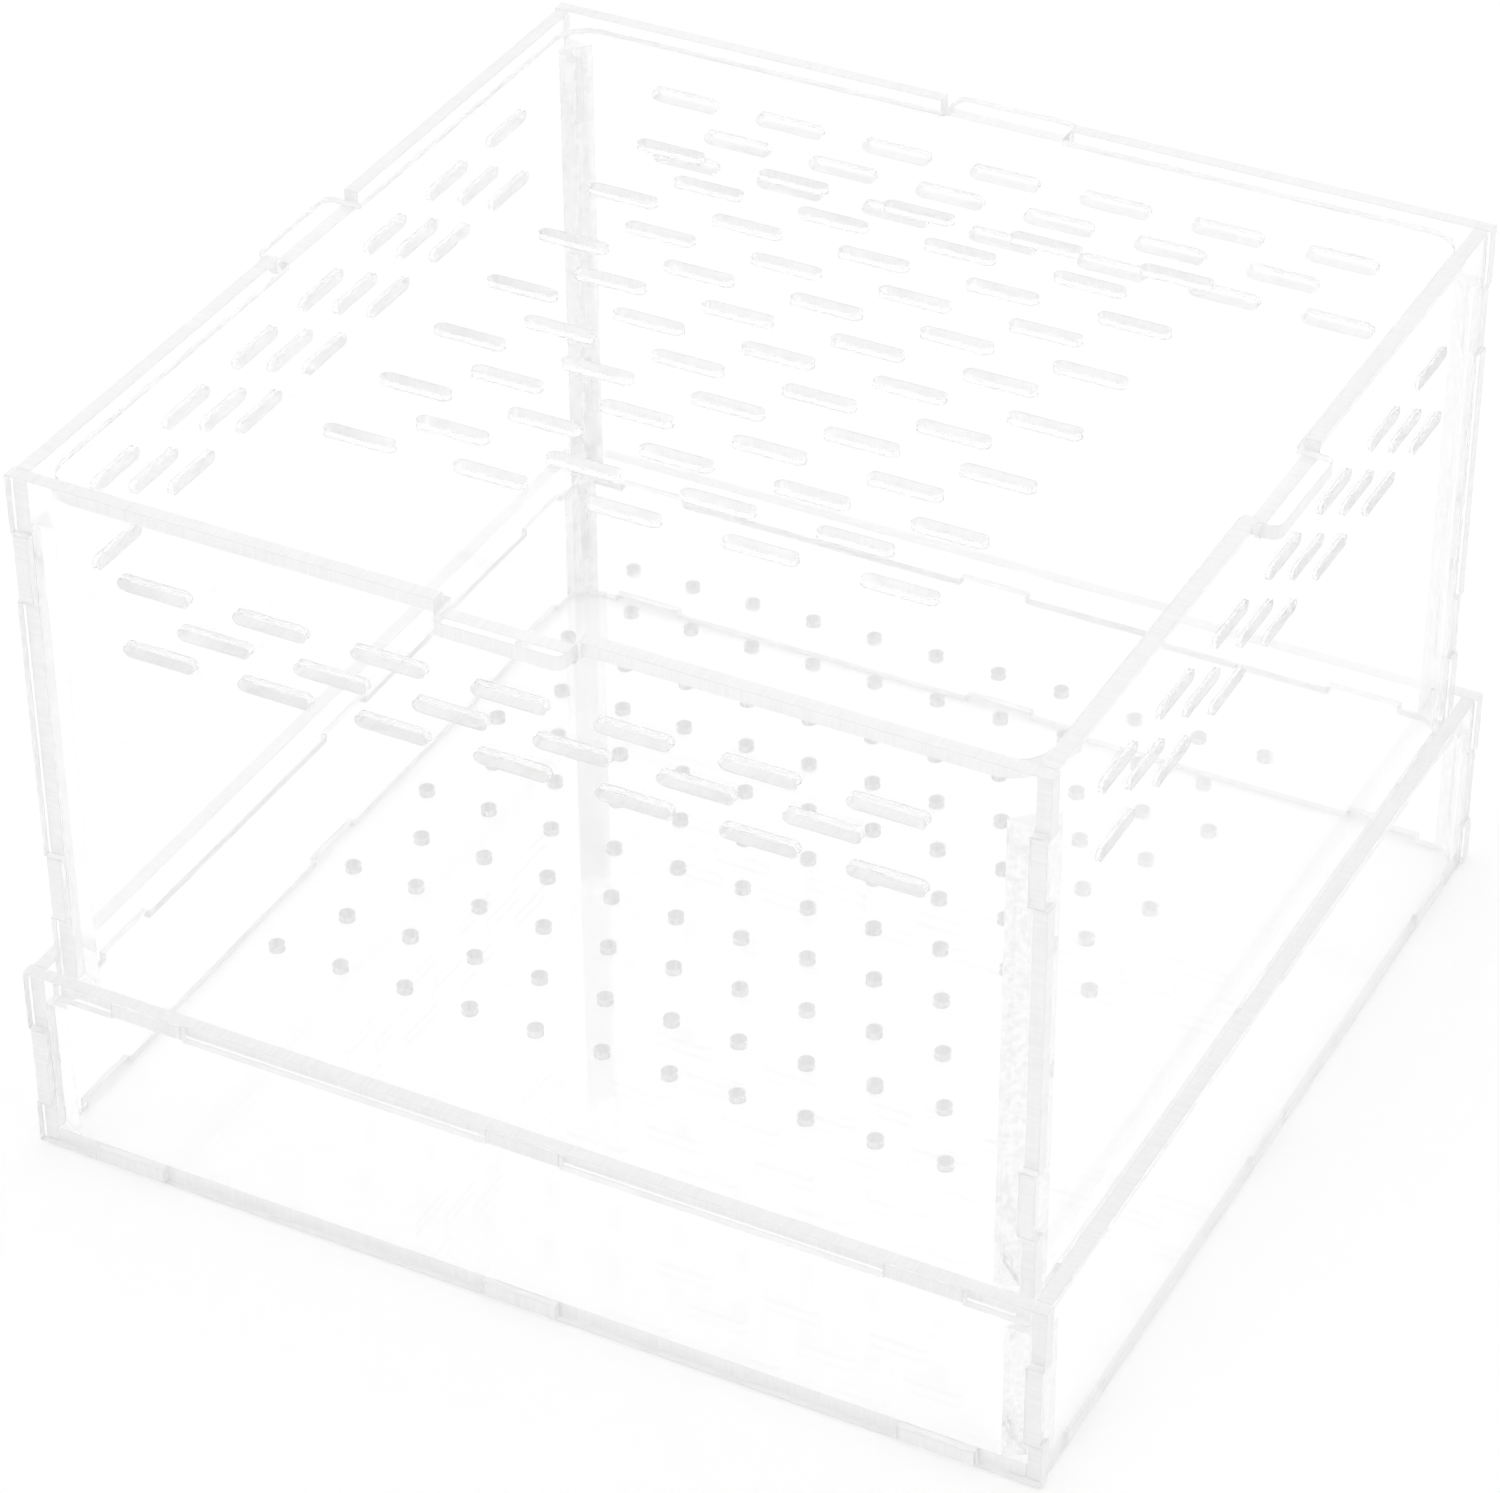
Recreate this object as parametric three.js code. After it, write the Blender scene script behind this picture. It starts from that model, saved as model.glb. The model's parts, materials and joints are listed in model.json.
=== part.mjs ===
// Acrylic breeding box for small reptiles: a shallow tray, a ventilated cage that stands in it,
// and a slotted lid that drops into the cage's rim. Every piece is cut from flat clear sheet,
// and the panels lock together with fingers and tabs. Millimetres, +Z up, front towards -Y.
// The origin is the centre of the tray's underside.

import * as THREE from 'three';

// Sheet and joints
const sheet = 3;                    // thickness of every panel
const cementLine = 0.1;             // gap between two cemented faces
const endProud = 0.5;               // front and back walls stand out this far past the side walls

// Cage
const cageWidth = 200;              // over the side walls
const cageDepth = 200;              // over the front and back walls
const cageWallHeight = 115.5;
const cageFloorLift = 0.5;          // floor's underside above the walls' bottom edges
const cageFingerHeight = 14;        // fingers of the side walls, two at each upright edge
const cageFingerDrop = 12.5;        // rim down to the upper finger
const cageFingerRise = 18.5;        // bottom edge up to the lower finger

// Tray
const trayClearance = 1.5;          // cage's outer faces to the tray's inner faces
const trayHeight = 40.5;
const trayFingerHeight = 17.5;      // one finger at each upright edge
const trayFingerRise = 9.5;         // bottom edge up to that finger

// Floor tabs, the same on cage and tray: one at mid-side and one near each corner
const floorTabWidth = 15;
const floorTabInset = 17;           // walls' inner face in to the centre of the outer tabs

// Triangular corner posts. Those of the cage are cut by hand, to four lengths.
const postLeg = 5;                  // legs of the right-angled section
const frontLeftPostDrop = 10;       // rim down to the top of each post of the cage
const frontRightPostDrop = 11.5;
const backLeftPostDrop = 8;
const backRightPostDrop = 10;
const trayPostHeight = 30.5;        // carries the cage above the tray's floor

// Lid
const lidClearance = 1;             // lid's edge to the cage's inner faces
const lidRecess = 1.6;              // lid's top below the rim
const lidCornerRadius = 7;
const lidTabWidth = 25.5;
const lidTabReach = 3.5;            // tab's end past the cage's outer face
const lidTabRadius = 2;
const lidNotchClearance = 1;        // each side of a tab, and the radius of the notch's corners

// Slots of the cage walls, in staggered rows
const ventLength = 14.5;
const ventWidth = 2.5;
const ventPitch = 23.7;
const ventRowSpacing = 7;
const ventRows = 3;
const ventDrop = 16;                // rim down to the first row
const ventMargin = 15;              // least distance from a slot to the wall's end

// Slots of the lid, in staggered rows
const lidSlotLength = 14.5;
const lidSlotWidth = 2.8;
const lidSlotPitch = 26.6;
const lidSlotRowSpacing = 9.75;
const lidSlotMargin = 33;           // least distance from a slot to the lid's edge

// Drain holes of the cage floor, in staggered rows
const drainDiameter = 3;
const drainPitch = 14;
const drainRowSpacing = 14;
const drainMargin = 20;             // least distance from a hole to the floor's edge

// Colours of the clear sheet and of the posts, and how solid they look
const sheetColour = 0xf6f8f9;
const sheetOpacity = 0.3;
const postColour = 0xeef2f3;
const postOpacity = 0.4;

// Steps of an arc: half of the straight lengths that stand for a full circle
const drainArcSteps = 5;
const slotArcSteps = 2;

// Sizes that follow
const cageInnerWidth = cageWidth - 2 * sheet;
const cageInnerDepth = cageDepth - 2 * sheet;
const trayInnerWidth = cageWidth + 2 * trayClearance;
const trayInnerDepth = cageDepth + 2 * trayClearance;
const cageBase = sheet + trayPostHeight;
const cageFloorTop = cageFloorLift + sheet;
const lidUnderside = cageWallHeight - lidRecess - sheet;
const lidWidth = cageInnerWidth - 2 * lidClearance;
const lidDepth = cageInnerDepth - 2 * lidClearance;
const lidTabLength = lidClearance + sheet + lidTabReach;
const lidNotchWidth = lidTabWidth + 2 * lidNotchClearance;
const notchWidth = floorTabWidth + 2 * cementLine;

// Closed outline through corners [x, y, radius]; a corner with a radius becomes an arc.
function roundedOutline(corners) {
  const shape = new THREE.Shape();
  corners.forEach(([x, y, radius], i) => {
    const corner = new THREE.Vector2(x, y);
    const before = corners[(i + corners.length - 1) % corners.length];
    const after = corners[(i + 1) % corners.length];
    const arriving = corner.clone().sub(new THREE.Vector2(before[0], before[1])).normalize();
    const leaving = new THREE.Vector2(after[0], after[1]).sub(corner).normalize();
    if (!radius) {
      if (i === 0) shape.moveTo(x, y);
      else shape.lineTo(x, y);
      return;
    }
    const turn = Math.atan2(arriving.cross(leaving), arriving.dot(leaving));
    const reach = radius * Math.tan(Math.abs(turn) / 2);
    const first = corner.clone().addScaledVector(arriving, -reach);
    const last = corner.clone().addScaledVector(leaving, reach);
    const inward = new THREE.Vector2(-arriving.y, arriving.x).multiplyScalar(Math.sign(turn) * radius);
    const centre = first.clone().add(inward);
    if (i === 0) shape.moveTo(first.x, first.y);
    else shape.lineTo(first.x, first.y);
    shape.absarc(centre.x, centre.y, radius,
      Math.atan2(first.y - centre.y, first.x - centre.x),
      Math.atan2(last.y - centre.y, last.x - centre.x), turn < 0);
  });
  shape.closePath();
  return shape;
}

// Outline of a rectangle whose sides carry steps. It runs anticlockwise from the lower left corner,
// and steps holds four lists: bottom, right, top, left. A step is { at, width, depth, radius }:
// at is its centre's distance from the side's middle, towards +X or +Y, and depth is positive for
// a notch and negative for a tab.
function steppedRectangle(left, bottom, right, top, steps, cornerRadius = 0) {
  const sides = [
    { from: [left, bottom], along: [1, 0], length: right - left },
    { from: [right, bottom], along: [0, 1], length: top - bottom },
    { from: [right, top], along: [-1, 0], length: right - left },
    { from: [left, top], along: [0, -1], length: top - bottom },
  ];
  const corners = [];
  sides.forEach(({ from, along, length }, i) => {
    const inward = [-along[1], along[0]];
    const forwards = along[0] + along[1];
    const place = (distance, depth, radius) => corners.push([
      from[0] + along[0] * distance + inward[0] * depth,
      from[1] + along[1] * distance + inward[1] * depth, radius]);
    place(0, 0, cornerRadius);
    const ordered = steps[i].map((step) => ({ ...step, centre: length / 2 + forwards * step.at }))
      .sort((a, b) => a.centre - b.centre);
    for (const { centre, width, depth, radius = 0 } of ordered) {
      place(centre - width / 2, 0, 0);
      place(centre - width / 2, depth, radius);
      place(centre + width / 2, depth, radius);
      place(centre + width / 2, 0, 0);
    }
  });
  return roundedOutline(corners);
}

// Round-ended slot along X, or a round hole where length and width are the same
function slot(x, y, length, width) {
  const path = new THREE.Path();
  const radius = width / 2;
  const reach = length / 2 - radius;
  if (reach <= 0) return path.absarc(x, y, radius, 0, 2 * Math.PI, false);
  path.moveTo(x - reach, y - radius);
  path.absarc(x + reach, y, radius, -Math.PI / 2, Math.PI / 2, false);
  path.absarc(x - reach, y, radius, Math.PI / 2, 3 * Math.PI / 2, false);
  return path;
}

// How many copies with this pitch fit in a span
function copiesIn(span, length, pitch) {
  return Math.max(1, Math.floor((span - length) / pitch) + 1);
}

// Cuts staggered rows of slots: every second row has one slot fewer and lies half a pitch over.
function cutRows(shape, { columns, rows, pitch, rowSpacing, length, width, topRow }) {
  for (let row = 0; row < rows; row += 1) {
    const count = row % 2 ? columns - 1 : columns;
    for (let i = 0; i < count; i += 1) {
      const x = (i - (count - 1) / 2) * pitch;
      shape.holes.push(slot(x, topRow - row * rowSpacing, length, width));
    }
  }
}

// Plate cut from the sheet, lying flat with its underside at zero
function plate(shape, arcSteps) {
  return new THREE.ExtrudeGeometry(shape, { depth: sheet, bevelEnabled: false, curveSegments: arcSteps });
}

// A plate stood on its lower edge, with its face towards -Y, or turned with its face towards +X
const faceFront = new THREE.Matrix4().makeBasis(
  new THREE.Vector3(1, 0, 0), new THREE.Vector3(0, 0, 1), new THREE.Vector3(0, -1, 0));
const faceSide = new THREE.Matrix4().makeBasis(
  new THREE.Vector3(0, 1, 0), new THREE.Vector3(0, 0, 1), new THREE.Vector3(1, 0, 0));

// Centres of the floor tabs along a side, from the side's middle
function floorTabCentres(innerLength) {
  const outer = innerLength / 2 - floorTabInset;
  return [-outer, 0, outer];
}

// Floor that fills the space between the walls, with its tabs through them
function floorOutline(innerWidth, innerDepth) {
  const tabs = (length) => floorTabCentres(length).map((at) => (
    { at, width: floorTabWidth, depth: -(cementLine + sheet) }));
  return steppedRectangle(
    -innerWidth / 2 + cementLine, -innerDepth / 2 + cementLine,
    innerWidth / 2 - cementLine, innerDepth / 2 - cementLine,
    [tabs(innerWidth), tabs(innerDepth), tabs(innerWidth), tabs(innerDepth)]);
}

// Steps for the fingers at a wall's upright end. fingers is a list of { low, high } above the bottom edge.
function endSteps(fingers, height, depth, gap) {
  return fingers.map(({ low, high }) => (
    { at: (low + high) / 2 - height / 2, width: high - low + 2 * gap, depth }));
}

// Front or back wall. It runs over the side walls' ends, and their fingers pass through its notches.
function frontOutline({ width, innerWidth, height, fingers, floorTop, topSteps }) {
  const notches = endSteps(fingers, height, endProud + sheet + cementLine, cementLine);
  const floorNotches = floorTabCentres(innerWidth).map((at) => (
    { at, width: notchWidth, depth: floorTop + cementLine }));
  return steppedRectangle(-width / 2 - endProud, 0, width / 2 + endProud, height,
    [floorNotches, notches, topSteps, notches]);
}

// Left or right wall. It stands between the front and back walls, with fingers that reach their faces.
function sideOutline({ innerDepth, height, fingers, floorTop, topSteps }) {
  const tongues = endSteps(fingers, height, -(cementLine + sheet), 0);
  const floorNotches = floorTabCentres(innerDepth).map((at) => (
    { at, width: notchWidth, depth: floorTop + cementLine }));
  return steppedRectangle(-innerDepth / 2 + cementLine, 0, innerDepth / 2 - cementLine, height,
    [floorNotches, tongues, topSteps, tongues]);
}

// Upright post of right-angled section. Its square corner is at zero and points towards signX, signY.
function cornerPost(height, signX, signY) {
  const section = new THREE.Shape();
  section.moveTo(0, 0);
  section.lineTo(-signX * postLeg, 0);
  section.lineTo(0, -signY * postLeg);
  section.closePath();
  return new THREE.ExtrudeGeometry(section, { depth: height, bevelEnabled: false });
}

function clearAcrylic(colour, opacity) {
  return new THREE.MeshStandardMaterial({
    color: colour, roughness: 0.04, metalness: 0, transparent: true, opacity });
}

function place(group, name, geometry, x, y, z, material) {
  const mesh = new THREE.Mesh(geometry, material);
  mesh.name = name;
  mesh.position.set(x, y, z);
  group.add(mesh);
}

// A post in each corner of an inner space. tops holds the heights of their tops.
function addPosts(group, unit, innerWidth, innerDepth, base, tops) {
  for (const [row, signY] of [['front', -1], ['back', 1]]) {
    for (const [column, signX] of [['left', -1], ['right', 1]]) {
      place(group, `${unit}_post_${row}_${column}`, cornerPost(tops[row][column] - base, signX, signY),
        signX * (innerWidth / 2 - cementLine), signY * (innerDepth / 2 - cementLine), base,
        clearAcrylic(postColour, postOpacity));
    }
  }
}

// Four walls around an inner space, stood on zero
function addWalls(group, unit, front, side, innerWidth, innerDepth) {
  const upright = (shape, facing) => plate(shape, slotArcSteps).applyMatrix4(facing);
  place(group, `${unit}_front_wall`, upright(front, faceFront), 0, -innerDepth / 2, 0,
    clearAcrylic(sheetColour, sheetOpacity));
  place(group, `${unit}_back_wall`, upright(front, faceFront), 0, innerDepth / 2 + sheet, 0,
    clearAcrylic(sheetColour, sheetOpacity));
  place(group, `${unit}_left_wall`, upright(side, faceSide), -innerWidth / 2 - sheet, 0, 0,
    clearAcrylic(sheetColour, sheetOpacity));
  place(group, `${unit}_right_wall`, upright(side, faceSide), innerWidth / 2, 0, 0,
    clearAcrylic(sheetColour, sheetOpacity));
}

function makeTray() {
  const tray = new THREE.Group();
  const fingers = [{ low: trayFingerRise, high: trayFingerRise + trayFingerHeight }];
  const shared = { height: trayHeight, fingers, floorTop: sheet, topSteps: [] };
  const front = frontOutline({ ...shared, width: trayInnerWidth + 2 * sheet, innerWidth: trayInnerWidth });
  const side = sideOutline({ ...shared, innerDepth: trayInnerDepth });
  addWalls(tray, 'tray', front, side, trayInnerWidth, trayInnerDepth);
  place(tray, 'tray_floor', plate(floorOutline(trayInnerWidth, trayInnerDepth), slotArcSteps),
    0, 0, 0, clearAcrylic(sheetColour, sheetOpacity));
  const pair = { left: cageBase, right: cageBase };
  addPosts(tray, 'tray', trayInnerWidth, trayInnerDepth, sheet + cementLine, { front: pair, back: pair });
  return tray;
}

// Notch in the middle of a cage wall's rim, where a tab of the lid lies
function lidNotch() {
  return [{ at: 0, width: lidNotchWidth, depth: lidRecess + sheet, radius: lidNotchClearance }];
}

function cutVents(wall, innerLength) {
  cutRows(wall, {
    columns: copiesIn(innerLength - 2 * ventMargin, ventLength, ventPitch), rows: ventRows,
    pitch: ventPitch, rowSpacing: ventRowSpacing, length: ventLength, width: ventWidth,
    topRow: cageWallHeight - ventDrop });
  return wall;
}

function makeCage() {
  const cage = new THREE.Group();
  cage.position.z = cageBase;
  const upperTop = cageWallHeight - cageFingerDrop;
  const fingers = [
    { low: cageFingerRise, high: cageFingerRise + cageFingerHeight },
    { low: upperTop - cageFingerHeight, high: upperTop },
  ];
  const shared = { height: cageWallHeight, fingers, floorTop: cageFloorTop, topSteps: lidNotch() };
  const front = frontOutline({ ...shared, width: cageWidth, innerWidth: cageInnerWidth });
  const side = sideOutline({ ...shared, innerDepth: cageInnerDepth });
  addWalls(cage, 'cage', cutVents(front, cageInnerWidth), cutVents(side, cageInnerDepth),
    cageInnerWidth, cageInnerDepth);

  const floor = floorOutline(cageInnerWidth, cageInnerDepth);
  const rows = copiesIn(cageInnerDepth - 2 * drainMargin, drainDiameter, drainRowSpacing);
  cutRows(floor, {
    columns: copiesIn(cageInnerWidth - 2 * drainMargin, drainDiameter, drainPitch), rows,
    pitch: drainPitch, rowSpacing: drainRowSpacing, length: drainDiameter, width: drainDiameter,
    topRow: (rows - 1) / 2 * drainRowSpacing });
  place(cage, 'cage_floor', plate(floor, drainArcSteps), 0, 0, cageFloorLift,
    clearAcrylic(sheetColour, sheetOpacity));

  addPosts(cage, 'cage', cageInnerWidth, cageInnerDepth, cageFloorTop + cementLine, {
    front: { left: cageWallHeight - frontLeftPostDrop, right: cageWallHeight - frontRightPostDrop },
    back: { left: cageWallHeight - backLeftPostDrop, right: cageWallHeight - backRightPostDrop },
  });
  return cage;
}

function makeLid() {
  const lid = new THREE.Group();
  lid.position.z = cageBase + lidUnderside;
  const tab = [{ at: 0, width: lidTabWidth, depth: -lidTabLength, radius: lidTabRadius }];
  const outline = steppedRectangle(-lidWidth / 2, -lidDepth / 2, lidWidth / 2, lidDepth / 2,
    [tab, tab, tab, tab], lidCornerRadius);
  const rows = copiesIn(lidDepth - 2 * lidSlotMargin, lidSlotWidth, lidSlotRowSpacing);
  cutRows(outline, {
    columns: copiesIn(lidWidth - 2 * lidSlotMargin, lidSlotLength, lidSlotPitch), rows,
    pitch: lidSlotPitch, rowSpacing: lidSlotRowSpacing, length: lidSlotLength, width: lidSlotWidth,
    topRow: (rows - 1) / 2 * lidSlotRowSpacing });
  place(lid, 'lid', plate(outline, slotArcSteps), 0, 0, 0, clearAcrylic(sheetColour, sheetOpacity));
  return lid;
}

const box = new THREE.Group();
box.add(makeTray(), makeCage(), makeLid());

export default box;
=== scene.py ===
# %% [markdown]
# # A clear acrylic breeding box
# The box is laser-cut from 3 mm clear sheet: a tray, a cage that stands in it and a slotted lid.
# Clear plastic has no colour to paint, so the picture is made by three things: true thickness, so that
# light bends in each panel, cut edges that differ from the polished faces, and a plain white studio.
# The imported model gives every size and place. It is loaded first and nothing in it is moved.

# %% Load the frame
import json
import math

import bmesh
import bpy
from mathutils import Matrix, Vector

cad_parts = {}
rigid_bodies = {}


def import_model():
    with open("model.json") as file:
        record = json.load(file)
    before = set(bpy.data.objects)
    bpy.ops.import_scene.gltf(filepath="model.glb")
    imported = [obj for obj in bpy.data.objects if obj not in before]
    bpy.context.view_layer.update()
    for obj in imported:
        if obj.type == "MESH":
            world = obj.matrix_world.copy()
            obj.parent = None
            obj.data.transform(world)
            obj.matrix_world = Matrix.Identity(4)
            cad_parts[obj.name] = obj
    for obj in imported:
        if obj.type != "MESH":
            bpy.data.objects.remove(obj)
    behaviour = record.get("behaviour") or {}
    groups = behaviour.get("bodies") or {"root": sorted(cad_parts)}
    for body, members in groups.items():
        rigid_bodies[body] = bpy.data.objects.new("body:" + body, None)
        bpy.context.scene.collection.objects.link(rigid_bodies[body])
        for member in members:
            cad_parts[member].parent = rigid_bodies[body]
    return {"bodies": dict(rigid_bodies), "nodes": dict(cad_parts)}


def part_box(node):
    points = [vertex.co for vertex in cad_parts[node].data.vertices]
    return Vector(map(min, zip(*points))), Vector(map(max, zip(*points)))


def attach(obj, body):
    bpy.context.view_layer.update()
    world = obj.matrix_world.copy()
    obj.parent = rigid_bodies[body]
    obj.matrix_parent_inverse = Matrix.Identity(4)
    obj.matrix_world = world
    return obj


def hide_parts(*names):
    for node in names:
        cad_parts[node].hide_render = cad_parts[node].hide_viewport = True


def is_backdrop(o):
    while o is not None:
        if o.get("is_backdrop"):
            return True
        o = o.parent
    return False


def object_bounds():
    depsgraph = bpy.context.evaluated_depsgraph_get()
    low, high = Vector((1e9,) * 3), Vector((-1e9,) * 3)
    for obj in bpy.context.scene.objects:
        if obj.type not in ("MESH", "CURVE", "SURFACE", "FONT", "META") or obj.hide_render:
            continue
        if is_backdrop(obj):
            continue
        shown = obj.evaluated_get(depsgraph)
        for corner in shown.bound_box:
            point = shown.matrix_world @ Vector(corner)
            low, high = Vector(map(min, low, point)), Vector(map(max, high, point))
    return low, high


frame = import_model()
cad_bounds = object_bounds()
scene = bpy.context.scene
MM = 0.001

# %% [markdown]
# ## The camera
# A long lens from well above and to the right gives the photograph's gentle perspective. Its place was
# found by fitting a pinhole camera to the corners, slots and holes of the real box, with the tray's
# underside as zero. The aim point is given along the view's own right and up directions.

# %% Camera
photo_width = 1500
focal_pixels = 5107.7
azimuth, elevation, roll = math.radians(27.6), math.radians(35.46), math.radians(-0.36)
distance = 1011.1 * MM
aim_right, aim_up = -5.55 * MM, 48.73 * MM
sensor_width = 36
farthest_seen = 10

view_back = Vector((math.sin(azimuth) * math.cos(elevation),
                    -math.cos(azimuth) * math.cos(elevation), math.sin(elevation)))
view_right = Vector((math.cos(azimuth), math.sin(azimuth), 0))
view_up = view_back.cross(view_right)
camera = bpy.data.objects.new("camera", bpy.data.cameras.new("camera"))
scene.collection.objects.link(camera)
scene.camera = camera
camera.data.sensor_width = sensor_width
camera.data.lens = focal_pixels / photo_width * sensor_width
camera.data.clip_end = farthest_seen
camera.location = distance * view_back + aim_right * view_right + aim_up * view_up
turned = Matrix((view_right, view_up, view_back)).transposed()
camera.rotation_euler = (turned @ Matrix.Rotation(roll, 3, "Z")).to_euler()
print("lens %.1f mm, camera at" % camera.data.lens, [round(c, 3) for c in camera.location])

# %% [markdown]
# ## How light is followed
# Light can run along inside a sheet for hundreds of reflections before it leaves, so the limits on
# bounces are raised, or the edges would turn black. Cycles also blurs sharp reflections after a rough
# one to save time, which would dim the light that reaches the floor through the box, so that is off.

# %% View and bounces
guided_bounces = 300
scattered_bounces = 60
transparent_bounces = 40
scene.view_settings.view_transform = "Standard"
scene.cycles.max_bounces = guided_bounces
scene.cycles.transmission_bounces = guided_bounces
scene.cycles.glossy_bounces = guided_bounces
scene.cycles.diffuse_bounces = scattered_bounces
scene.cycles.transparent_max_bounces = transparent_bounces
scene.cycles.blur_glossy = 0
print("light is followed for %d guided and %d scattered bounces" % (guided_bounces, scattered_bounces))

# %% [markdown]
# ## Helpers for colours and nodes
# Colours are written as sRGB hex values, as a screen shows them, and shaders calculate with linear light,
# so one function converts them. Another adds a node with its settings and links in one line. A Mix node
# has a set of sockets for numbers and another for colours, with the same names, so they are told apart by
# their numbers.

# %% Colour and node helpers
MIX_FACTOR, NUMBER_A, NUMBER_B, COLOUR_A, COLOUR_B = 0, 2, 3, 6, 7
MIXED_NUMBER, MIXED_COLOUR = 0, 2


def linear(hex_colour, alpha=1.0):
    """An sRGB hex colour as the linear colour that shaders expect."""
    channels = [int(hex_colour[i:i + 2], 16) / 255 for i in (0, 2, 4)]
    return tuple(c / 12.92 if c <= 0.04045 else ((c + 0.055) / 1.055) ** 2.4 for c in channels) + (alpha,)


def add_node(tree, kind, inputs=None, **settings):
    """Adds a node. inputs maps a socket's name or number to a value, or to the output that feeds it."""
    made = tree.nodes.new(kind)
    for name, value in settings.items():
        setattr(made, name, value)
    for key, value in (inputs or {}).items():
        if isinstance(value, bpy.types.NodeSocket):
            tree.links.new(value, made.inputs[key])
        else:
            made.inputs[key].default_value = value
    return made


def new_material(name):
    """An empty node material and its tree."""
    material = bpy.data.materials.new(name)
    material.use_nodes = True
    material.node_tree.nodes.clear()
    return material, material.node_tree


print("hex F0F0F0 is linear %.3f" % linear("F0F0F0")[0])

# %% [markdown]
# ## The light tent
# Clear plastic has no shade of its own: it shows what lies round it. In a studio it stands in a tent of
# white cloth, with an opening for the lens, and the dimmer room behind that opening is what draws the
# corner posts. So the world is an even white dome with a soft grey patch in that direction, and a camera
# ray that meets the dome sees plain white. The dome stands a little above 1, and the patch takes part of
# that light away again. Both levels were matched to the photograph.

# %% World
tent_light = 1.08
room_light = 0.37
plain_white = 1.0
opening_inner, opening_outer = math.radians(10), math.radians(30)

world = bpy.data.worlds.new("light_tent")
scene.world = world
world.use_nodes = True
tree = world.node_tree
tree.nodes.clear()
direction = add_node(tree, "ShaderNodeTexCoord")
towards = add_node(tree, "ShaderNodeVectorMath", {0: direction.outputs["Generated"], 1: view_back},
                   operation="DOT_PRODUCT")
dimmed = add_node(tree, "ShaderNodeMapRange", {
    "Value": towards.outputs["Value"], "From Min": math.cos(opening_outer),
    "From Max": math.cos(opening_inner), "To Min": tent_light, "To Max": room_light},
    interpolation_type="SMOOTHSTEP")
backdrop = add_node(tree, "ShaderNodeLightPath")
level = add_node(tree, "ShaderNodeMix", {
    MIX_FACTOR: backdrop.outputs["Is Camera Ray"], NUMBER_A: dimmed.outputs["Result"],
    NUMBER_B: plain_white}, data_type="FLOAT")
tent = add_node(tree, "ShaderNodeBackground", {
    "Color": linear("FFFFFF"), "Strength": level.outputs[MIXED_NUMBER]})
add_node(tree, "ShaderNodeOutputWorld", {"Surface": tent.outputs[0]})
print("tent at %.2f, opening at %.2f" % (tent_light, room_light))

# %% [markdown]
# ## The floor
# A sheet of board with matt white paint reaches past the picture on all sides. It keeps the faint shadow
# of the box. It lies a hair below the tray, because two faces at one height would flicker.

# %% Floor
floor_half = 3.0
floor_gap = 0.2 * MM
corners = [(x * floor_half, y * floor_half, 0) for x, y in ((-1, -1), (1, -1), (1, 1), (-1, 1))]
floor_mesh = bpy.data.meshes.new("floor")
floor_mesh.from_pydata(corners, [], [(0, 1, 2, 3)])
floor = bpy.data.objects.new("floor", floor_mesh)
scene.collection.objects.link(floor)
floor.location.z = -floor_gap
floor_paint, tree = new_material("matt_white_paint")
shader = add_node(tree, "ShaderNodeBsdfDiffuse", {"Color": linear("FFFFFF")})
add_node(tree, "ShaderNodeOutputMaterial", {"Surface": shader.outputs[0]})
floor.data.materials.append(floor_paint)
floor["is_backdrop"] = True
print("floor of %.0f m with %s" % (2 * floor_half, floor_paint.name))

# %% [markdown]
# ## Cast acrylic, polished face
# Cast sheet has faces as smooth as glass and an index of refraction of 1.49. It isn't perfectly flat:
# a long shallow waviness, far below what a hand can feel, bends what is seen through it, and handling
# leaves a haze of fine rub marks. The waviness is bump on the shader's normal and the haze is a trace of
# roughness, so the sheet stays clear.

# %% Polished face
acrylic_ior = 1.49
waviness_length = 60 * MM
waviness_height = 0.5 * MM
rub_length = 6 * MM
dullest_rub = 0.05


def polished_face():
    """Clear cast sheet: slow waviness and faint rub marks on a fully transmitting face."""
    material, tree = new_material("cast_acrylic_polished_face")
    place = add_node(tree, "ShaderNodeTexCoord")
    wave = add_node(tree, "ShaderNodeTexNoise", {
        "Vector": place.outputs["Object"], "Scale": 1 / waviness_length, "Detail": 0.0})
    rub = add_node(tree, "ShaderNodeTexNoise", {
        "Vector": place.outputs["Object"], "Scale": 1 / rub_length, "Detail": 2.0, "Roughness": 0.7})
    haze = add_node(tree, "ShaderNodeMapRange", {
        "Value": rub.outputs["Fac"], "From Min": 0.45, "From Max": 0.75,
        "To Min": 0.0, "To Max": dullest_rub})
    bump = add_node(tree, "ShaderNodeBump", {
        "Height": wave.outputs["Fac"], "Strength": 0.15, "Distance": waviness_height})
    shader = add_node(tree, "ShaderNodeBsdfPrincipled", {
        "Base Color": linear("FFFFFF"), "Transmission Weight": 1.0, "IOR": acrylic_ior,
        "Roughness": haze.outputs["Result"], "Normal": bump.outputs["Normal"]})
    add_node(tree, "ShaderNodeOutputMaterial", {"Surface": shader.outputs[0]})
    return material


polished = polished_face()
print("made", polished.name)

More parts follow.
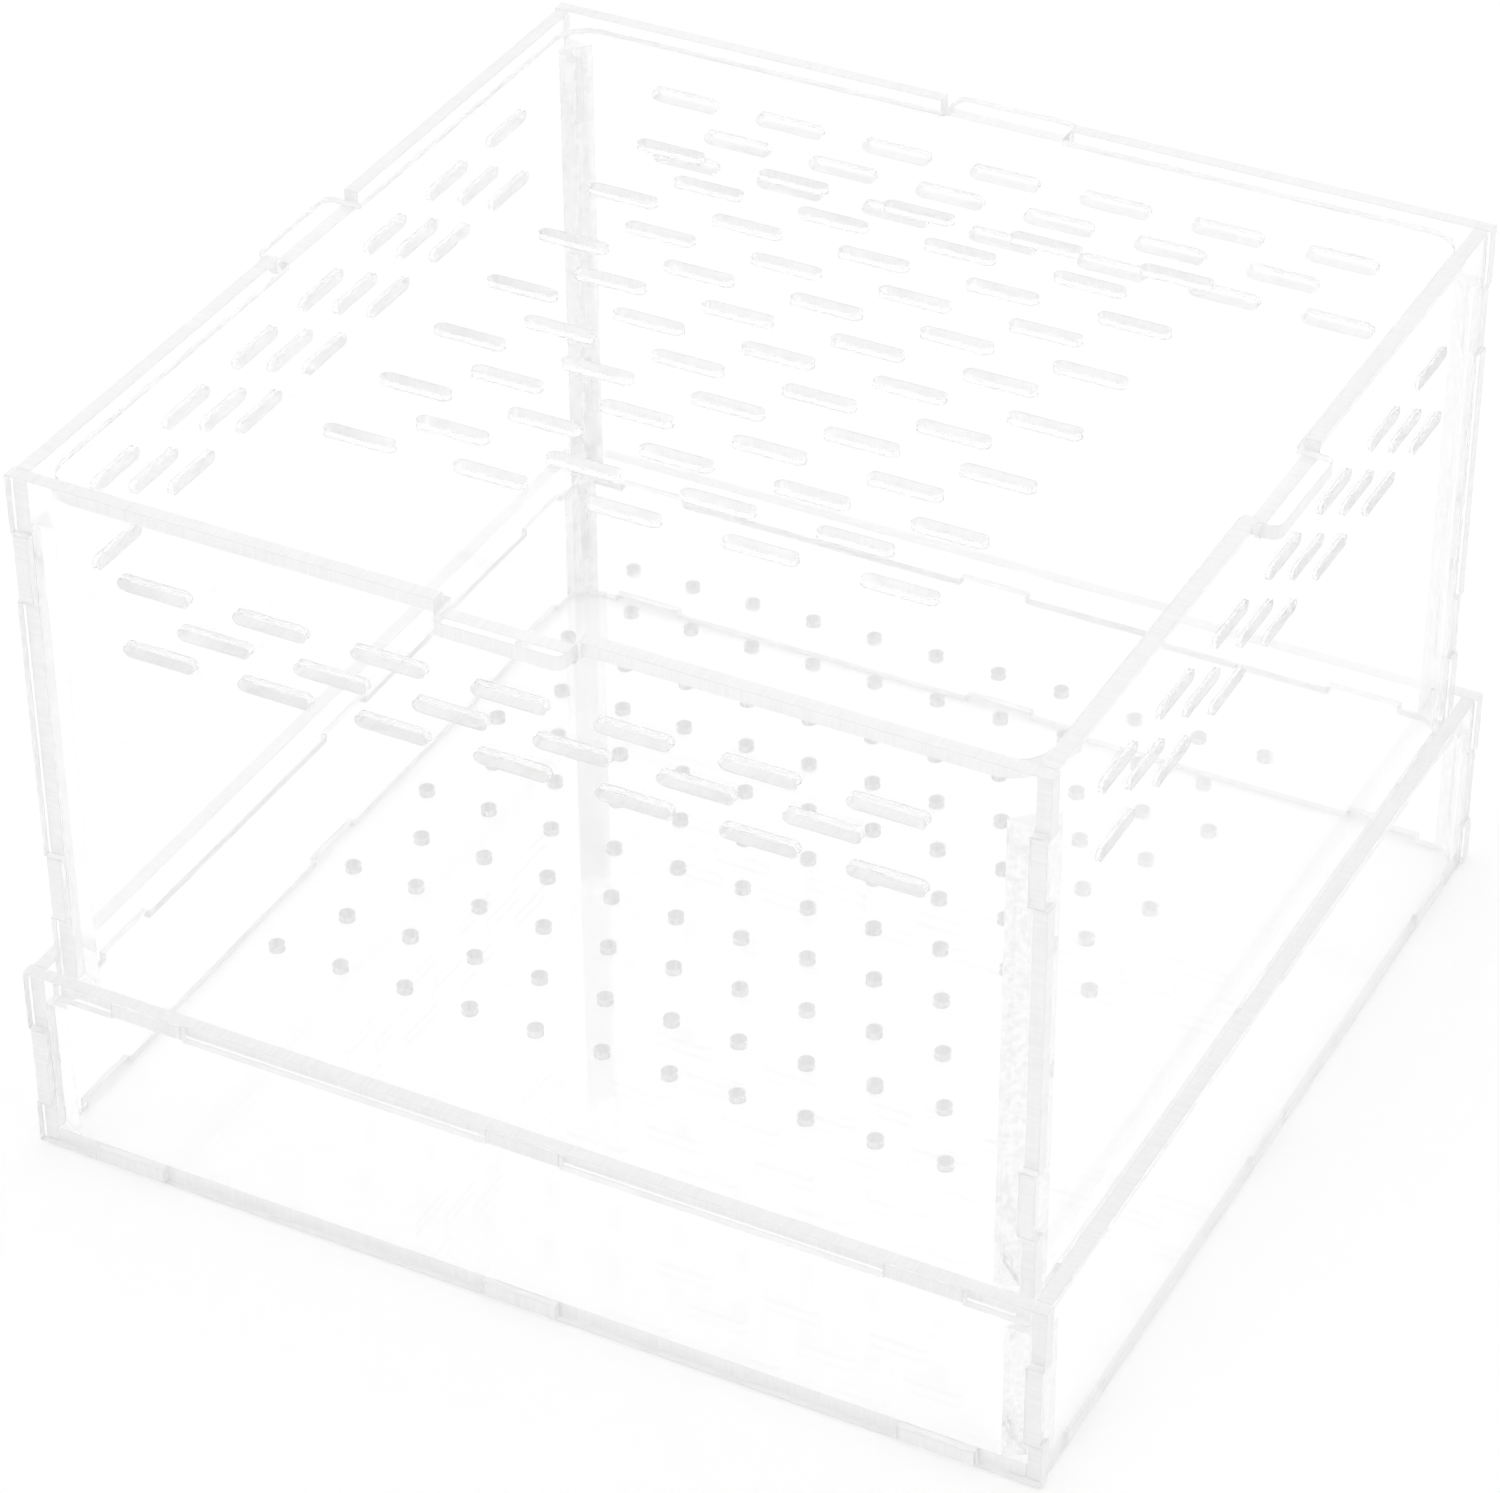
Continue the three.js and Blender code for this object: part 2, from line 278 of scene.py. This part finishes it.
# %% [markdown]
# ## Cast acrylic, laser-cut edges
# The laser melts its way through the sheet and leaves a frosted, finely rippled wall. From the air side
# that frost reads as a solid pale grey. Where a ray meets it from inside the sheet, it is given a lighter
# colour, white or nearly so. That is painted light, standing in for the light of the tent that comes in
# through the frost, so the colour depends on the side that a ray meets.
#
# Three cuts differ in how much of the light passes straight through. The slots were cut fast and stay the
# clearest, the round holes are fully frosted, and the outer edges and finger joints were wiped with
# solvent cement, which leaves a milky film. Both arrises of every cut carry a thin bead of melt, dull all
# through, which draws the fine line round each slot and edge. The tints were matched to the photograph.
#
# The ripples run straight through the thickness, so the pattern reads only the place on the flat sheet,
# which the cutter stores as an attribute. Real ripples are 0.1 to 0.2 mm apart, too fine to show here, so
# they are drawn at 0.7 mm.

# %% Cut edges
ripple_length = 0.7 * MM
ripple_depth = 0.1 * MM
ripple_contrast = (0.3, 0.7)
SHEET_PLACE = "sheet_place"


def cut_edge(name, darkest, lightest, painted_inside_light, clearness, roughness):
    """A cut edge. clearness is the share of light that passes, and the rest is scattered by the frost."""
    material, tree = new_material(name)
    place = add_node(tree, "ShaderNodeAttribute", attribute_name=SHEET_PLACE)
    ripple = add_node(tree, "ShaderNodeTexNoise", {
        "Vector": place.outputs["Vector"], "Scale": 1 / ripple_length, "Detail": 1.0, "Roughness": 0.5})
    tint = add_node(tree, "ShaderNodeValToRGB", {"Fac": ripple.outputs["Fac"]})
    for element, position, colour in zip(tint.color_ramp.elements, ripple_contrast, (darkest, lightest)):
        element.position = position
        element.color = linear(colour)
    # Painted light: a ray that meets the cut from inside the sheet gets the lighter inside colour, which
    # stands in for tent light let in through the frost.
    side = add_node(tree, "ShaderNodeNewGeometry")
    side_painted_colour = add_node(tree, "ShaderNodeMix", {
        MIX_FACTOR: side.outputs["Backfacing"], COLOUR_A: tint.outputs["Color"],
        COLOUR_B: linear(painted_inside_light)}, data_type="RGBA")
    bump = add_node(tree, "ShaderNodeBump", {
        "Height": ripple.outputs["Fac"], "Strength": 0.3, "Distance": ripple_depth})
    shader = add_node(tree, "ShaderNodeBsdfPrincipled", {
        "Base Color": side_painted_colour.outputs[MIXED_COLOUR], "Transmission Weight": clearness,
        "IOR": acrylic_ior, "Roughness": roughness, "Normal": bump.outputs["Normal"]})
    add_node(tree, "ShaderNodeOutputMaterial", {"Surface": shader.outputs[0]})
    return material


# The last colour of each cut is its painted inside light, lighter than the frost seen from the air.
slot_cut = cut_edge("laser_cut_acrylic_frosted_slot", "F0F0F0", "F8F8F8", "FFFFFF", 1.0, 0.7)
hole_cut = cut_edge("laser_cut_acrylic_frosted_hole", "EFEFEF", "F7F7F7", "F9F9F9", 0.0, 0.5)
milky_cut = cut_edge("laser_cut_acrylic_cemented_edge", "F2F2F2", "F8F8F8", "FFFFFF", 0.3, 0.5)
melt_bead = cut_edge("laser_cut_acrylic_melt_bead", "EDEDED", "F0F0F0", "EFEFEF", 0.0, 1.0)
print("made", ", ".join(m.name for m in (slot_cut, hole_cut, milky_cut, melt_bead)))

# %% [markdown]
# ## Reading a panel from the frame
# Every panel is a flat plate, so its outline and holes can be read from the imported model: the edges
# between a flat side and the cut sides form closed loops. Each loop is followed from point to point, in
# the order in which the mesh lists them, so that every run gives the same loops.

# %% Loops of a flat side
MERGE_GAP = 0.001 * MM  # points nearer than this are one point
LEVEL_GAP = 0.01 * MM   # points this near to a level lie on it
ALONG_AXIS = 0.99       # a face whose normal has this much of an axis looks along it


def merged_copy(node):
    """The node's mesh as a bmesh with its loose triangles joined."""
    bm = bmesh.new()
    bm.from_mesh(frame["nodes"][node].data)
    bmesh.ops.remove_doubles(bm, verts=bm.verts, dist=MERGE_GAP)
    bm.normal_update()
    return bm


def rim_loops(bm, axis, level):
    """The closed loops of points round the flat side that lies at this level of the axis."""
    rim = [e for e in bm.edges
           if all(abs(p.co[axis] - level) < LEVEL_GAP for p in e.verts)
           and sum(abs(f.normal[axis]) > ALONG_AXIS for f in e.link_faces) == 1]
    beside = {}
    for e in rim:
        for a, b in (e.verts, reversed(e.verts)):
            beside.setdefault(a, []).append(b)
    loops, left = [], dict.fromkeys(beside)
    while left:
        following = next(iter(left))
        loop = []
        while following is not None:
            loop.append(following)
            del left[following]
            following = next((p for p in beside[following] if p in left), None)
        loops.append(loop)
    return loops


sample = merged_copy("lid")
lid_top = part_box("lid")[1].z
print("the lid's top has", len(rim_loops(sample, 2, lid_top)), "loops")
sample.free()

# %% [markdown]
# ## Where each panel lies
# A panel is thin along one axis. The two others become its flat coordinates, and a matrix places the flat
# sheet back where the model has it. The outline reaches further to the left than any hole, which tells it
# from them.

# %% Panel outlines
U_AXES = {0: (0, 1, 0), 1: (1, 0, 0), 2: (1, 0, 0)}
V_AXES = {0: (0, 0, 1), 1: (0, 0, 1), 2: (0, 1, 0)}


def panel_of(node):
    """The panel's thickness, its placing matrix, and its outline and holes in flat coordinates."""
    low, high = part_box(node)
    size = high - low
    axis = min(range(3), key=lambda i: size[i])
    u, v = Vector(U_AXES[axis]), Vector(V_AXES[axis])
    w = u.cross(v)
    origin = Vector((0, 0, 0))
    origin[axis] = low[axis] if w[axis] > 0 else high[axis]
    placing = Matrix((u, v, w)).transposed().to_4x4()
    placing.translation = origin
    bm = merged_copy(node)
    loops = [[(p.co.dot(u), p.co.dot(v)) for p in loop] for loop in rim_loops(bm, axis, origin[axis])]
    bm.free()
    loops.sort(key=lambda loop: min(p[0] for p in loop))
    return {"thickness": size[axis], "placing": placing, "outline": loops[0], "holes": loops[1:]}


panels = {name: panel_of(name) for name in frame["nodes"] if "post" not in name}
for name, panel in sorted(panels.items()):
    print("%-16s %3d holes, outline of %d points" % (name, len(panel["holes"]), len(panel["outline"])))

# %% [markdown]
# ## The sheet cutter
# A panel could be cut with booleans, but hundreds of slots make those slow and fragile. A laser cuts along
# curves, and Geometry Nodes can do the same: one slot curve is copied to every hole centre, the outline and
# the slots are filled as one flat shape, and that is raised to the sheet's thickness.
#
# A slot is a circle whose left and right halves are moved apart. The circle is first turned by half a step
# between two points, so that none of them lies on the line where it is divided.

# %% One slot's curve
points_round = 32


def slot_curve(tree, given):
    """A circle whose halves are moved apart to the hole's length. A round hole's stay together."""
    radius = add_node(tree, "ShaderNodeMath", {0: given["Hole width"], 1: 2.0}, operation="DIVIDE")
    circle = add_node(tree, "GeometryNodeCurvePrimitiveCircle", {
        "Resolution": given["Points round a hole"], "Radius": radius.outputs[0]})
    half_step = add_node(tree, "ShaderNodeMath", {0: math.pi, 1: given["Points round a hole"]},
                         operation="DIVIDE")
    turn = add_node(tree, "ShaderNodeCombineXYZ", {"Z": half_step.outputs[0]})
    turned = add_node(tree, "GeometryNodeTransform", {
        "Geometry": circle.outputs["Curve"], "Rotation": turn.outputs[0]})
    place = add_node(tree, "GeometryNodeInputPosition")
    parts = add_node(tree, "ShaderNodeSeparateXYZ", {0: place.outputs[0]})
    side = add_node(tree, "ShaderNodeMath", {0: parts.outputs["X"]}, operation="SIGN")
    spare = add_node(tree, "ShaderNodeMath", {0: given["Hole length"], 1: given["Hole width"]},
                     operation="SUBTRACT")
    reach = add_node(tree, "ShaderNodeMath", {0: spare.outputs[0], 1: 2.0}, operation="DIVIDE")
    shift = add_node(tree, "ShaderNodeMath", {0: side.outputs[0], 1: reach.outputs[0]},
                     operation="MULTIPLY")
    offset = add_node(tree, "ShaderNodeCombineXYZ", {"X": shift.outputs[0]})
    slot = add_node(tree, "GeometryNodeSetPosition", {
        "Geometry": turned.outputs[0], "Offset": offset.outputs[0]})
    return slot.outputs[0]


print("a hole is drawn with %d points, half of them at each end" % points_round)

# %% [markdown]
# The copies and the outline are filled together. The fill leaves a hole wherever one closed curve lies
# inside another, so every slot is open. It is filled with large faces instead of triangles, which a bevel
# can follow.

# %% Flat sheet
def flat_sheet(tree, given, slot):
    """The outline filled as a flat shape with a hole at every centre. Gives the outline's edges too."""
    copies = add_node(tree, "GeometryNodeInstanceOnPoints", {
        "Points": given["Centres"], "Instance": slot})
    real = add_node(tree, "GeometryNodeRealizeInstances", {0: copies.outputs[0]})
    outline = add_node(tree, "GeometryNodeObjectInfo", {"Object": given["Outline"]})
    outline_curve = add_node(tree, "GeometryNodeMeshToCurve", {"Mesh": outline.outputs["Geometry"]})
    joined = add_node(tree, "GeometryNodeJoinGeometry", {0: real.outputs[0]})
    tree.links.new(outline_curve.outputs[0], joined.inputs[0])
    flat = add_node(tree, "GeometryNodeFillCurve", {0: joined.outputs[0]}, mode="NGONS")
    return flat.outputs[0], outline.outputs["Geometry"]


print("the cutter will open", sum(len(panel["holes"]) for panel in panels.values()), "holes")

# %% [markdown]
# The flat shape is raised, and a flipped copy of it closes the underside. The round ends of a slot are
# shaded smooth, while the edges between a face and a cut stay hard.

# %% Raised plate
crease_angle = math.radians(35)


def raised_plate(tree, given, flat):
    """The flat shape raised to the sheet's thickness and closed. Also tells which faces are its sides."""
    up = add_node(tree, "ShaderNodeCombineXYZ", {"Z": given["Thickness"]})
    raised = add_node(tree, "GeometryNodeExtrudeMesh", {
        "Mesh": flat, "Offset": up.outputs[0], "Offset Scale": 1.0, "Individual": False})
    under = add_node(tree, "GeometryNodeFlipFaces", {"Mesh": flat})
    both = add_node(tree, "GeometryNodeJoinGeometry", {0: raised.outputs["Mesh"]})
    tree.links.new(under.outputs[0], both.inputs[0])
    closed = add_node(tree, "GeometryNodeMergeByDistance", {
        "Geometry": both.outputs[0], "Distance": MERGE_GAP})
    smooth = add_node(tree, "GeometryNodeSetShadeSmooth", {0: closed.outputs[0], "Shade Smooth": True})
    bend = add_node(tree, "GeometryNodeInputMeshEdgeAngle")
    sharp = add_node(tree, "FunctionNodeCompare", {0: bend.outputs["Unsigned Angle"], 1: crease_angle},
                     data_type="FLOAT", operation="GREATER_THAN")
    creased = add_node(tree, "GeometryNodeSetShadeSmooth", {
        0: smooth.outputs[0], "Selection": sharp.outputs[0], "Shade Smooth": False}, domain="EDGE")
    return creased.outputs[0], raised.outputs["Side"]


print("edges that bend more than %.0f degrees stay hard" % math.degrees(crease_angle))

# %% [markdown]
# Last, every point keeps its place on the flat sheet as an attribute, for the ripples. The flat sides get
# the face's material and the raised sides the hole's, apart from those within one thickness of the
# outline, which get the outline's.

# %% The whole cutter
def finished_plate(tree, given, plate, sides, outline):
    """The plate with its place on the sheet stored and its three materials set."""
    place = add_node(tree, "GeometryNodeInputPosition")
    flattened = add_node(tree, "ShaderNodeVectorMath", {0: place.outputs[0], 1: (1, 1, 0)},
                         operation="MULTIPLY")
    marked = add_node(tree, "GeometryNodeStoreNamedAttribute", {
        "Geometry": plate, "Name": SHEET_PLACE, "Value": flattened.outputs[0]},
        data_type="FLOAT_VECTOR")
    to_outline = add_node(tree, "GeometryNodeProximity", {0: outline}, target_element="EDGES")
    at_outline = add_node(tree, "FunctionNodeCompare", {
        0: to_outline.outputs["Distance"], 1: given["Thickness"]},
        data_type="FLOAT", operation="LESS_THAN")
    outer = add_node(tree, "FunctionNodeBooleanMath", {0: sides, 1: at_outline.outputs[0]},
                     operation="AND")
    solid = add_node(tree, "GeometryNodeRealizeInstances", {0: marked.outputs[0]})
    faced = add_node(tree, "GeometryNodeSetMaterial", {
        "Geometry": solid.outputs[0], "Material": given["Face material"]})
    pierced = add_node(tree, "GeometryNodeSetMaterial", {
        "Geometry": faced.outputs[0], "Selection": sides, "Material": given["Hole material"]})
    edged = add_node(tree, "GeometryNodeSetMaterial", {
        "Geometry": pierced.outputs[0], "Selection": outer.outputs[0],
        "Material": given["Outline material"]})
    return edged.outputs[0]


def sheet_cutter():
    """Node tree: hole centres in, plate with round-ended holes out, lying flat on zero."""
    tree = bpy.data.node_groups.new("sheet_cutter", "GeometryNodeTree")
    inputs = [("Centres", "NodeSocketGeometry"), ("Outline", "NodeSocketObject"),
              ("Hole length", "NodeSocketFloat"), ("Hole width", "NodeSocketFloat"),
              ("Thickness", "NodeSocketFloat"), ("Points round a hole", "NodeSocketInt"),
              ("Face material", "NodeSocketMaterial"), ("Hole material", "NodeSocketMaterial"),
              ("Outline material", "NodeSocketMaterial")]
    for name, kind in inputs:
        tree.interface.new_socket(name, in_out="INPUT", socket_type=kind)
    tree.interface.new_socket("Plate", in_out="OUTPUT", socket_type="NodeSocketGeometry")
    given = add_node(tree, "NodeGroupInput").outputs
    flat, outline = flat_sheet(tree, given, slot_curve(tree, given))
    plate, sides = raised_plate(tree, given, flat)
    add_node(tree, "NodeGroupOutput", {0: finished_plate(tree, given, plate, sides, outline)})
    return tree


cutter = sheet_cutter()
socket_of = {item.name: item.identifier for item in cutter.interface.items_tree if item.in_out == "INPUT"}
print("cutter inputs:", list(socket_of))

# %% [markdown]
# ## What a panel needs besides the cutter
# The cutter reads the outline from an object of its own. The frame tells which body carries a node, so
# that a panel moves with that body.

# %% Outline, slot and body
ROUND_SHARE = 0.9  # a hole at least this wide for its length is round


def loop_object(name, loop):
    """An object that holds a closed loop of edges, lying flat."""
    mesh = bpy.data.meshes.new(name)
    count = len(loop)
    mesh.from_pydata([(u, v, 0) for u, v in loop], [(i, (i + 1) % count) for i in range(count)], [])
    made = bpy.data.objects.new(name, mesh)
    scene.collection.objects.link(made)
    return made


def hole_size(holes):
    """Length and width of the holes, which are all alike in one panel."""
    if not holes:
        return 0.0, 0.0
    us, vs = [p[0] for p in holes[0]], [p[1] for p in holes[0]]
    length, width = max(us) - min(us), max(vs) - min(vs)
    return (length, length) if width > ROUND_SHARE * length else (length, width)


def body_of_node(name):
    """The body that carries the node."""
    return next(body for body, empty in frame["bodies"].items() if frame["nodes"][name].parent == empty)


for name in ("lid", "cage_front_wall", "cage_floor"):
    size = hole_size(panels[name]["holes"])
    print("%-16s on %-5s holes of %.1f x %.1f mm" % (name, body_of_node(name), size[0] / MM, size[1] / MM))

# %% [markdown]
# ## Cutting the panels
# The cutter runs once for each panel. A small bevel rounds the sharp arris as the melt does, and its faces
# are the bead that draws the fine line between a face and its edge. A bevel can only use a material that
# the mesh already has, so the bead is given to the centres first. The cutter passes that slot on empty,
# and it is filled again in the finished mesh.
#
# Where clear pieces stand on each other, a film of air stays between them. If their faces met exactly,
# Cycles couldn't tell which comes first, so the lid's underside is cut back by the film's thickness.

# %% Cut one panel
arris = 0.12 * MM
arris_angle = math.radians(50)
air_film = 0.05 * MM
BEAD_SLOT = 0


def hole_centres(name, holes):
    """A mesh with a point at the middle of each hole."""
    mesh = bpy.data.meshes.new(name)
    middles = []
    for hole in holes:
        us, vs = [p[0] for p in hole], [p[1] for p in hole]
        middles.append(((max(us) + min(us)) / 2, (max(vs) + min(vs)) / 2, 0))
    mesh.from_pydata(middles, [], [])
    mesh.materials.append(melt_bead)
    return mesh


def cut_panel(name, panel):
    """Makes the clear panel that stands for a CAD node."""
    outline = loop_object(name + "_outline", panel["outline"])
    plate = bpy.data.objects.new(name + "_clear", hole_centres(name + "_clear", panel["holes"]))
    scene.collection.objects.link(plate)
    length, width = hole_size(panel["holes"])
    lifted = air_film if name == "lid" else 0.0
    values = {"Outline": outline, "Hole length": length, "Hole width": width,
              "Thickness": panel["thickness"] - lifted, "Points round a hole": points_round,
              "Face material": polished, "Outline material": milky_cut,
              "Hole material": hole_cut if length == width else slot_cut}
    cut = plate.modifiers.new("cut", "NODES")
    cut.node_group = cutter
    for socket, value in values.items():
        cut[socket_of[socket]] = value
    rounding = plate.modifiers.new("arris", "BEVEL")
    rounding.width = arris
    rounding.segments = 2
    rounding.limit_method = "ANGLE"
    rounding.angle_limit = arris_angle
    rounding.harden_normals = True
    rounding.material = BEAD_SLOT
    bpy.context.view_layer.update()
    mesh = bpy.data.meshes.new_from_object(plate.evaluated_get(bpy.context.evaluated_depsgraph_get()))
    plate.modifiers.clear()
    mesh.materials[BEAD_SLOT] = melt_bead
    mesh.transform(panel["placing"] @ Matrix.Translation((0, 0, lifted)))
    mesh.update()
    plate.data = mesh
    plate.data.name = name + "_clear"
    bpy.data.objects.remove(outline)
    return plate


print("arris of %.2f mm, film of air of %.2f mm" % (arris / MM, air_film / MM))

# %% [markdown]
# Each finished panel replaces its CAD node and rides on the same body.

# %% Cut all panels
for name, panel in sorted(panels.items()):
    plate = cut_panel(name, panel)
    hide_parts(name)
    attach(plate, body_of_node(name))
    print("%-22s %6d faces, materials %s" % (plate.name, len(plate.data.polygons),
                                           [m.name for m in plate.data.materials]))

# %% [markdown]
# ## Triangular bar, smeared with cement and painted shade
# The posts are triangular bars of clear acrylic. Solvent cement crept over the long face and dried in
# patches a millimetre or two across. Their grey tint is also painted shade, which darkens the whole bar
# where the dim room would be seen reflected in it. The face under them is still polished, so it stays
# nearly sharp.

# %% Smeared face
patch_length = 1.5 * MM
patch_height = 0.1 * MM
patch_contrast = (0.35, 0.6)
cement_roughness = 0.03


def smear_and_painted_shade_face():
    """A polished face with solvent cement dried over it in patches, whose grey tint is also painted shade.
    """
    material, tree = new_material("cast_acrylic_cement_smear_and_painted_shade_face")
    place = add_node(tree, "ShaderNodeTexCoord")
    patch = add_node(tree, "ShaderNodeTexNoise", {
        "Vector": place.outputs["Object"], "Scale": 1 / patch_length, "Detail": 2.0, "Roughness": 0.6})
    tint = add_node(tree, "ShaderNodeValToRGB", {"Fac": patch.outputs["Fac"]})
    # Painted shade: the grey patches darken the whole long face, standing in for the dim room reflected in
    # the bar.
    for element, position, colour in zip(tint.color_ramp.elements, patch_contrast, ("E2E2E2", "F5F5F5")):
        element.position = position
        element.color = linear(colour)
    bump = add_node(tree, "ShaderNodeBump", {
        "Height": patch.outputs["Fac"], "Strength": 0.1, "Distance": patch_height})
    shader = add_node(tree, "ShaderNodeBsdfPrincipled", {
        "Base Color": tint.outputs["Color"], "Transmission Weight": 1.0, "IOR": acrylic_ior,
        "Roughness": cement_roughness, "Normal": bump.outputs["Normal"]})
    add_node(tree, "ShaderNodeOutputMaterial", {"Surface": shader.outputs[0]})
    return material


smear_and_shade = smear_and_painted_shade_face()
print("made", smear_and_shade.name)

# %% [markdown]
# ## The corner posts
# The bars are cut to length by hand. Two faces stay polished and are cemented to the walls, the long face
# between them is smeared and carries the painted shade, and the sawn ends are as milky as the sheet's
# cemented edges. The finish of a face is told from the direction that it looks in. Cage walls stand on
# the tray's posts, so both ends of each post keep clear of their neighbours by the film of air.

# %% Corner posts
POST_MATERIALS = {"polished": polished, "end": milky_cut, "smear_and_shade": smear_and_shade}
flat_angle = math.radians(1)


def post_finish(normal):
    """The finish of a post's face."""
    if abs(normal.z) > ALONG_AXIS:
        return "end"
    return "polished" if max(abs(normal.x), abs(normal.y)) > ALONG_AXIS else "smear_and_shade"


def clear_post(name):
    """Makes the clear post that stands for a CAD node."""
    bm = merged_copy(name)
    bmesh.ops.dissolve_limit(bm, angle_limit=flat_angle, verts=bm.verts, edges=bm.edges)
    for face in bm.faces:
        face.material_index = list(POST_MATERIALS).index(post_finish(face.normal))
    foot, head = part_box(name)
    for point in bm.verts:
        point.co.z += air_film if point.co.z < (foot.z + head.z) / 2 else -air_film
    mesh = bpy.data.meshes.new(name + "_clear")
    bm.to_mesh(mesh)
    bm.free()
    for material in POST_MATERIALS.values():
        mesh.materials.append(material)
    on_sheet = mesh.attributes.new(SHEET_PLACE, "FLOAT_VECTOR", "POINT")
    for point, value in zip(mesh.vertices, on_sheet.data):
        value.vector = (point.co.x, point.co.y, 0)
    post = bpy.data.objects.new(name + "_clear", mesh)
    scene.collection.objects.link(post)
    return post


for name in sorted(n for n in frame["nodes"] if "post" in n):
    post = clear_post(name)
    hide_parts(name)
    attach(post, body_of_node(name))
    print("%-28s %d faces, %.1f mm long" % (post.name, len(post.data.polygons), post.dimensions.z / MM))

# %% [markdown]
# ## Sizes
# How far the pieces grow past the imported model along each axis is printed, in millimetres. The
# pieces may not grow past the imported model.

# %% Compare sizes and finish
visual_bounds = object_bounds()
growth = [round((v[i] - c[i]) / MM, 3) for c, v in zip(cad_bounds, visual_bounds) for i in range(3)]
print("growth in mm:", growth)
